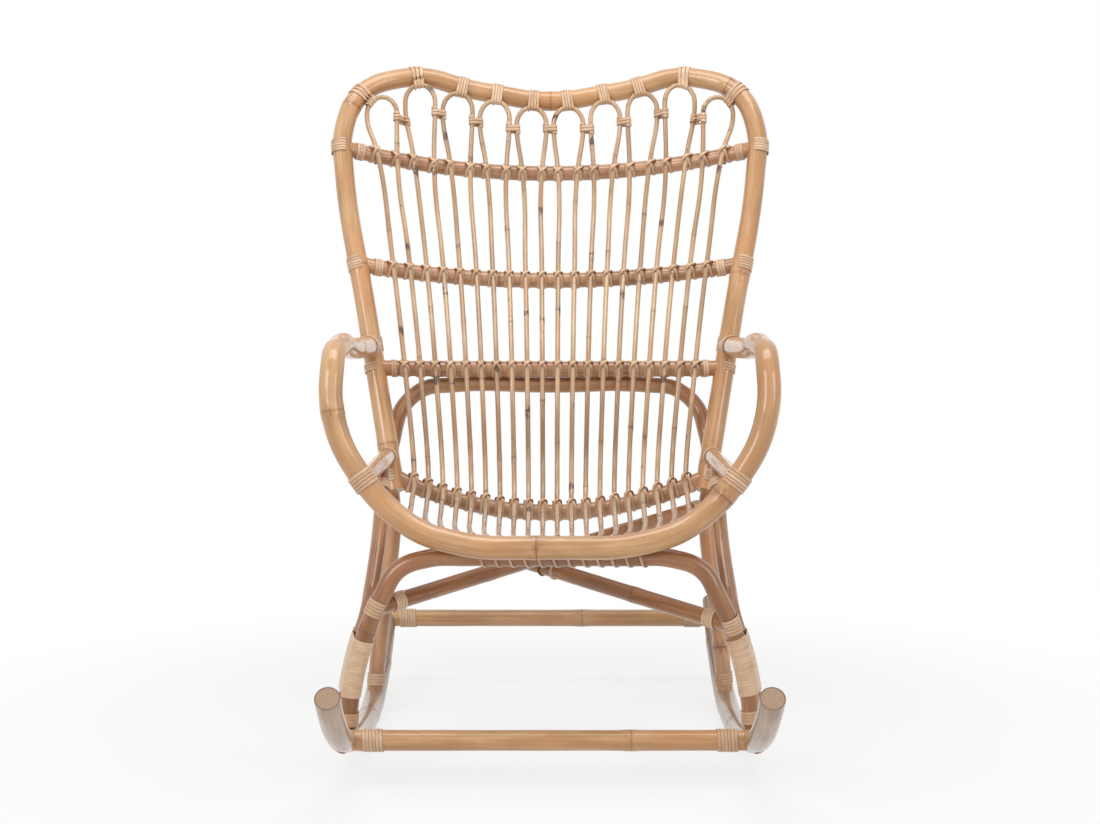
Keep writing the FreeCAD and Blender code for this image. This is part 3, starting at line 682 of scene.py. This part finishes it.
def stem_finish(name, pale, middle, deep, warm, scar, ring_width, stain):
    g = new_finish(name, VARNISH, VARNISH_ROUGHNESS)
    read = {"grain": g.node("ShaderNodeAttribute", {"attribute_name": "grain"}, None, "Vector")}
    for word in ("gap", "tone", "mark", "cut", "rim"):
        read[word] = g.node("ShaderNodeAttribute", {"attribute_name": word}, None, "Fac")
    fibre = noise(g, read["grain"], *FIBRE)
    spots = noise(g, read["grain"], *SPOTS)
    colour = stem_colour(g, read, fibre, pale, middle, deep, warm)
    near = g.bell(read["gap"], STAIN_REACH) * read["mark"]
    colour = blend(g, ramp(g, spots + near * 0.28, 0.66, 0.80) * stain, colour, scar)
    ring = g.bell(read["gap"] + (spots - 0.5) * RING_WAVER, ring_width) * (0.20 + read["mark"] * 0.70)
    colour = blend(g, ring, colour, scar)
    inside = g.node("ShaderNodeTexCoord", None, None, "Object")
    pores = g.node("ShaderNodeTexVoronoi", None, {"Vector": inside, "Scale": PORE_SCALE}, "Distance")
    face = blend(g, ramp(g, pores, 0.10, 0.50), deep, middle)
    colour = blend(g, read["cut"], colour, face)
    colour = blend(g, read["rim"] * (0.25 + spots * 0.80), colour, scar)
    rough = 0.38 + (spots - 0.5) * 0.20 + ring * 0.15 + read["cut"] * 0.25
    height = fibre * 0.20 + spots * 0.30 - ring * 0.8
    bump = g.node("ShaderNodeBump", None, {"Strength": 0.30, "Distance": GRAIN_DEPTH, "Height": height})
    into(g, Base_Color=colour, Roughness=rough, Normal=bump)
    return g.material


STEMS = {
    "honey": stem_finish("honey_pole", tint(216, 172, 126), tint(202, 154, 104), tint(174, 126, 80),
                         tint(204, 142, 90), tint(134, 78, 46), ring_width=0.0013, stain=0.45),
    # tan: a darker tone for the rails and the rear leg hoop, partly their own colour and partly painted
    # shade
    "tan": stem_finish("tan_and_shaded_pole", tint(208, 160, 118), tint(190, 142, 100), tint(158, 110, 72),
                       tint(184, 122, 80), tint(112, 66, 40), ring_width=0.0012, stain=0.50),
    # brown: a deeper colour plus painted shade, for the poles under the seat
    "brown": stem_finish("brown_and_shaded_pole", tint(184, 132, 86), tint(162, 110, 66), tint(130, 82, 46),
                         tint(156, 94, 56), tint(94, 56, 34), ring_width=0.0012, stain=0.50),
    # grey: a painted sheen, the pale grazing reflection on the runners' sides, laid over the stem colour
    "grey": stem_finish("grey_sheen_pole", tint(188, 160, 136), tint(170, 140, 114), tint(138, 108, 86),
                        tint(166, 130, 100), tint(104, 76, 58), ring_width=0.0012, stain=0.50),
    "cane": stem_finish("varnished_cane", tint(212, 178, 142), tint(194, 158, 120), tint(164, 126, 92),
                        tint(192, 144, 104), tint(84, 58, 40), ring_width=0.0018, stain=0.95)}
print("finishes:", ", ".join(STEMS))

# %% [markdown]
# Peel is a little paler than the poles, because it is the hard skin of the stem, and it took up less
# varnish.
# Each strip has its own tone, fine lengthwise lines and a painted shade along its edges, for the shadowed
# groove between one turn and the next.
# The edge could be left to shadow alone, but the strips lie so close that their turns would run together.

# %% Finish of the peel
PEEL_VARNISH = 0.30
PEEL_VARNISH_ROUGHNESS = 0.18
PEEL_FIBRE = ((1.0, 0.01, 0.02), 1800.0, 3.0)
PEEL_CLOUD = ((0.3, 0.05, 1.0), 28.0, 3.0)
PEEL_GROOVE_SHADE = (0.0013, 0.0023)
PEEL_DEPTH = 0.0004


def peel_finish_of(name):
    g = new_finish(name, PEEL_VARNISH, PEEL_VARNISH_ROUGHNESS)
    grain = g.node("ShaderNodeAttribute", {"attribute_name": "grain"}, None, "Vector")
    tone = g.node("ShaderNodeAttribute", {"attribute_name": "tone"}, None, "Fac")
    fibre = noise(g, grain, *PEEL_FIBRE)
    cloud = noise(g, grain, *PEEL_CLOUD)
    share = ramp(g, cloud + tone * 0.14 + (fibre - 0.5) * 0.5, 0.25, 0.75)
    colour = blend(g, share, tint(202, 162, 126), tint(226, 193, 160))
    across = g.node("ShaderNodeSeparateXYZ", None, {"Vector": grain}, "X")
    # painted shade along both edges of each strip, for the shadowed groove between turns and beside a
    # lashing
    groove_shade = ramp(g, g.maths("ABSOLUTE", across), *PEEL_GROOVE_SHADE)
    colour = blend(g, groove_shade * 0.38, colour, tint(144, 102, 68))
    rough = 0.42 + (fibre - 0.5) * 0.25
    bump = g.node("ShaderNodeBump", None, {"Strength": 0.3, "Distance": PEEL_DEPTH, "Height": fibre})
    into(g, Base_Color=colour, Roughness=rough, Normal=bump)
    return g.material


peel_finish = peel_finish_of("glossy_peel")
print("finish:", peel_finish.name)

# %% [markdown]
# The poles carry the chair: hoops, rails, legs, runners and braces, all bent over steam from straight stems.
# Each could be drawn as a curve of its own, but the frame already has them bent to size.
# The table gives a pole's thickness in millimetres, as it was built, where its first node sits and how far
# apart its nodes are in metres, and its finish: tan and brown are partly the pole's own colour and partly
# painted shade, and grey is a painted sheen on the runners.

# %% Poles
POLES = {
    "back_hoop": (32.0, 0.10, 0.31, "honey"), "arm_hoop": (32.0, 0.21, 0.33, "honey"),
    "upper_back_rail": (25.0, 0.12, 0.27, "tan"), "middle_back_rail": (25.0, 0.20, 0.29, "tan"),
    "lower_back_rail": (25.0, 0.09, 0.25, "tan"), "seat_rear_rail": (25.0, 0.14, 0.28, "tan"),
    "seat_front_rail": (18.0, 0.11, 0.22, "brown"), "front_leg_arch": (25.0, 0.18, 0.29, "brown"),
    "rear_leg_hoop": (25.0, 0.15, 0.31, "tan"), "front_stretcher": (28.0, 0.01, 0.33, "honey"),
    "rear_stretcher": (28.0, -0.06, 0.40, "honey"), "left_runner": (33.0, 0.13, 0.30, "grey"),
    "right_runner": (33.0, 0.21, 0.30, "grey"), "left_seat_side_rail": (25.0, 0.13, 0.24, "honey"),
    "right_seat_side_rail": (25.0, 0.20, 0.24, "honey"), "left_strut": (21.0, 0.17, 0.26, "brown"),
    "right_strut": (21.0, 0.11, 0.26, "brown"), "left_brace": (23.0, 0.22, 0.28, "brown"),
    "right_brace": (23.0, 0.22, 0.28, "brown")}
POLE_SWELLING = 0.055
POLE_SIDES = 28


def radius_of(millimetres):
    return millimetres / 2000


def stem_piece(node, diameter, first, spacing, swelling, sides, finish, seed):
    line = middle_line(triangles_of(node), radius_of(diameter), STEM_STEP, STEM_PASSES)
    if tuple(line[0]) > tuple(line[-1]):
        line = line[::-1]
    values = {"Radius": radius_of(diameter), "First node": first, "Node spacing": spacing,
              "Swelling": swelling, "Sides": sides, "Seed": seed, "Finish": finish}
    piece = grown(node.replace("_", "-"), [line], stem, values)
    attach(piece, "root")
    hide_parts(node)
    return piece


for seed, (node, (diameter, first, spacing, shade)) in enumerate(POLES.items()):
    piece = stem_piece(node, diameter, first, spacing, POLE_SWELLING, POLE_SIDES, STEMS[shade], seed + 1)
    print(node, len(piece.data.polygons), "faces")

# %% [markdown]
# The canes of the back and seat are thin stems, each bent into a hairpin and lashed to the rails.
# They are grown as the poles are, at a quarter of the thickness, with fewer sides and with nodes closer
# together.
# The first node is shifted from cane to cane, so that the nodes don't line up in a row.

# %% Canes
CANES = sorted(name for name in frame["nodes"] if name.startswith("cane_"))
CANE_DIAMETER = 8.0
CANE_NODE_SPACING = 0.19
CANE_SWELLING = 0.09
CANE_SIDES = 12
FIRST_CANE_SEED = 40
for seed, node in enumerate(CANES):
    first = 0.05 + 0.017 * (seed * 7 % 10)
    piece = stem_piece(node, CANE_DIAMETER, first, CANE_NODE_SPACING, CANE_SWELLING, CANE_SIDES,
                       STEMS["cane"], seed + FIRST_CANE_SEED)
print(len(CANES), "canes")

# %% [markdown]
# A binding lies flat on what it binds, so each strip has to know which way is outwards.
# Round a pole that is away from the middle of the strip's own bend, and for the small crossed lashings it is
# away from the middle of the lashing.
# The pole's own surface would tell it too, but a strip often runs from one pole onto another.

# %% Outer side of a strip
OUTWARD_REACH = 5
STRAIGHT_SHARE = 0.15
FACING_PASSES = 6


def outward_of(line, crossed, reach):
    if crossed:
        facing = line - line.mean(axis=0)
    else:
        wide = np.concatenate([np.repeat(line[:1], reach, 0), line, np.repeat(line[-1:], reach, 0)])
        facing = 2 * line - wide[:-2 * reach] - wide[2 * reach:]
        facing[:reach] = facing[reach]
        facing[-reach:] = facing[-reach - 1]
        size = np.linalg.norm(facing, axis=1, keepdims=True)
        facing = facing / np.maximum(size, STRAIGHT_SHARE * np.median(size))
    facing = smoothed(facing, FACING_PASSES)
    run = np.gradient(line, axis=0)
    run /= np.linalg.norm(run, axis=1, keepdims=True)
    facing = facing - run * (facing * run).sum(axis=1, keepdims=True)
    return facing / np.linalg.norm(facing, axis=1, keepdims=True)


print("the bend of a strip is taken over", 2 * OUTWARD_REACH, "steps")

# %% [markdown]
# The strip is let down onto the pole, and its two ends are tucked under, as a binder does with the last
# turn.
# How wide it has to be is measured: the nearest points of the next turn give the gap from turn to turn.

# %% Laying a strip
TUCK_LENGTH = 0.005
TUCK_DEPTH = 0.0014
THINNING = 3
SAME_TURN = 0.02
FAR_AWAY = 1.0
WIDEST = 1.6


def laid(line, facing, drop, step):
    from_end = np.minimum(np.arange(len(line)), np.arange(len(line))[::-1]) * step
    lower = drop + TUCK_DEPTH * np.clip(1 - from_end / TUCK_LENGTH, 0, 1) ** 2
    return line - facing * lower[:, None]


def turn_gap(line, step, usual):
    thin = line[::THINNING]
    apart = np.linalg.norm(thin[:, None] - thin[None], axis=2)
    count = np.arange(len(thin))
    same_turn = np.abs(count[:, None] - count[None]) * THINNING * step < SAME_TURN
    gap = np.median(np.where(same_turn, FAR_AWAY, apart).min(axis=1))
    return gap if usual < gap < WIDEST * usual else usual


print("ends are tucked", TUCK_DEPTH, "m under over", TUCK_LENGTH, "m")

# %% [markdown]
# The bindings wrap the joints of the poles and hide the screws in them.
# All the windings of a node become one piece, with a strip for each of its solids.
# Wound strips are stretched to almost the gap between their turns, which leaves the fine lines of a real
# winding.

# %% Bindings
TURN_SHARE = 0.96
STRIP_PASSES = 2


def binding(node, seed, strand, width, thickness, drop, step, crossed):
    lines = []
    facings = []
    stretch = []
    for tris in solids_of(node):
        line = middle_line(tris, radius_of(strand), step, STRIP_PASSES)
        facing = outward_of(line, crossed, OUTWARD_REACH)
        lines.append(laid(line, facing, drop, step))
        facings.append(facing)
        stretch.append(1.0 if crossed else turn_gap(line, step, width) / width * TURN_SHARE)
    values = {"Width": width, "Thickness": thickness, "Seed": seed, "Finish": peel_finish}
    piece = grown(node.replace("_", "-"), lines, strip, values, facings, stretch)
    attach(piece, "root")
    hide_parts(node)
    print(node, len(lines), "strips,", len(piece.data.polygons), "faces")


BINDINGS = sorted(name for name in frame["nodes"] if name.endswith("bindings"))
for seed, node in enumerate(BINDINGS):
    step = 0.0012 if node.startswith("loop") else 0.0022
    binding(node, seed, strand=3.6, width=0.0046, thickness=0.0016, drop=0.0012, step=step, crossed=False)

# %% [markdown]
# A lashing crosses over where a cane meets a rail, in thinner peel, and the lacing runs under the seat's
# front edge.
# Both are laid as the bindings are, but a lashing is a knot and not a winding, so its strips keep their own
# width.

# %% Lashings and lacing
FIRST_LASHING_SEED = 50
LACING_SEED = 70
LASHINGS = sorted(name for name in frame["nodes"] if name.endswith(("lashings", "lashing")))
for seed, node in enumerate(LASHINGS):
    binding(node, seed + FIRST_LASHING_SEED, strand=2.4, width=0.0048, thickness=0.0012, drop=0.0009,
            step=0.0011, crossed=True)
binding("seat_front_lacing", LACING_SEED, strand=2.4, width=0.0036, thickness=0.0013, drop=0.0005,
        step=0.0016, crossed=False)

# %% [markdown]
# The screws inside the joints stay as the frame has them, because nothing of them shows on the finished
# chair.
# They only get their finish, a plain brushed steel.

# %% Screws
BRUSH = ((1.0, 1.0, 8.0), 700.0)


def steel_finish():
    g = new_finish("brushed_steel", 0.0, 0.1)
    g.shader.inputs["Metallic"].default_value = 1.0
    place = g.node("ShaderNodeTexCoord", None, None, "Object")
    brush = noise(g, place, *BRUSH)
    colour = blend(g, brush, tint(150, 148, 144), tint(196, 194, 190))
    into(g, Base_Color=colour, Roughness=0.30 + brush * 0.2)
    return g.material


screws = frame["nodes"]["joint_screws"]
screws.data.materials.clear()
screws.data.materials.append(steel_finish())
print("screws carry", screws.data.materials[0].name)

# %% [markdown]
# The stage is a plain pale floor that looks white away from the chair, so that no horizon shows.
# A brighter lamp would make it white too, but it would bleach the chair.
# So the floor adds some white of its own for what the camera and reflections see, less of it near the chair,
# where the shadow has to stay.

# %% Floor
FLOOR_GREY = 0.85
WHITE = (1.0, 1.0, 1.0, 1.0)
WHITE_NEAR = 0.78
WHITE_MORE = 0.22
NEAR_CHAIR = 0.50
CLEAR_OF_CHAIR = 1.25
FLOOR_CORNERS = [(-9, -4, 0), (9, -4, 0), (9, 14, 0), (-9, 14, 0)]


def direct_ray(g):
    seen = [g.node("ShaderNodeLightPath", None, None, kind)
            for kind in ("Is Camera Ray", "Is Glossy Ray", "Is Transmission Ray")]
    return g.maths("MINIMUM", seen[0] + seen[1] + seen[2], 1.0)


def floor_finish():
    material = bpy.data.materials.new("pale_floor")
    material.use_nodes = True
    g = Graph(material.node_tree)
    g.tree.nodes.clear()
    place = g.node("ShaderNodeTexCoord", None, None, "Object")
    distance = g.node("ShaderNodeVectorMath", {"operation": "LENGTH"}, {0: place}, "Value")
    share = direct_ray(g) * (WHITE_NEAR + ramp(g, distance, NEAR_CHAIR, CLEAR_OF_CHAIR) * WHITE_MORE)
    flat = g.node("ShaderNodeBsdfDiffuse", None, {"Color": (FLOOR_GREY, FLOOR_GREY, FLOOR_GREY, 1.0)})
    white = g.node("ShaderNodeEmission", None, {"Color": WHITE, "Strength": 1.0})
    mixed = g.node("ShaderNodeMixShader", None, {0: share, 1: flat, 2: white})
    out = g.tree.nodes.new("ShaderNodeOutputMaterial")
    g.tree.links.new(mixed.socket, out.inputs["Surface"])
    return material


floor_mesh = bpy.data.meshes.new("floor")
floor_mesh.from_pydata(FLOOR_CORNERS, [], [(0, 1, 2, 3)])
floor_mesh.materials.append(floor_finish())
floor = bpy.data.objects.new("floor", floor_mesh)
bpy.context.scene.collection.objects.link(floor)
print("floor laid,", FLOOR_CORNERS[1][0] - FLOOR_CORNERS[0][0], "m wide")

# %% [markdown]
# Varnish needs something broad to mirror, or its shine breaks up into dots.
# So three large area lamps stand where a studio would have them: one overhead, one at the front left and a
# weaker one at the front right.

# %% Lamps
def lamp(name, place, aim, wide, high, power):
    data = bpy.data.lights.new(name, "AREA")
    data.shape = "RECTANGLE"
    data.size = wide
    data.size_y = high
    data.energy = power
    made = bpy.data.objects.new(name, data)
    made.location = place
    way = np.array(aim) - np.array(place)
    flat = math.hypot(way[0], way[1])
    made.rotation_euler = (math.atan2(flat, -way[2]), 0, math.atan2(-way[0], way[1]))
    bpy.context.scene.collection.objects.link(made)
    print(name, "lamp of", power, "W")


lamp("overhead", (0.0, -0.3, 2.9), aim=(0.0, 0.0, 0.4), wide=2.2, high=1.2, power=34.0)
lamp("front_left", (-1.9, -2.6, 2.0), aim=(0.0, 0.0, 0.5), wide=1.4, high=1.4, power=36.0)
lamp("front_right", (2.2, -2.2, 1.6), aim=(0.0, 0.0, 0.5), wide=1.2, high=1.4, power=20.0)

# %% [markdown]
# The room is plain white, and it fills the shadows that the lamps leave.
# What the camera and reflections see of it is full white, but it lights the chair at less than half of that.

# %% Room
FILL_LIGHT = 0.40
UP_TO_WHITE = 0.60
world = bpy.data.worlds.new("white_room")
world.use_nodes = True
room = Graph(world.node_tree)
room.tree.nodes.clear()
strength = FILL_LIGHT + direct_ray(room) * UP_TO_WHITE
glow = room.node("ShaderNodeBackground", None, {"Color": WHITE, "Strength": strength})
ending = room.tree.nodes.new("ShaderNodeOutputWorld")
room.tree.links.new(glow.socket, ending.inputs["Surface"])
bpy.context.scene.world = world
bpy.context.scene.view_settings.view_transform = "Standard"
print("room lights at", FILL_LIGHT)
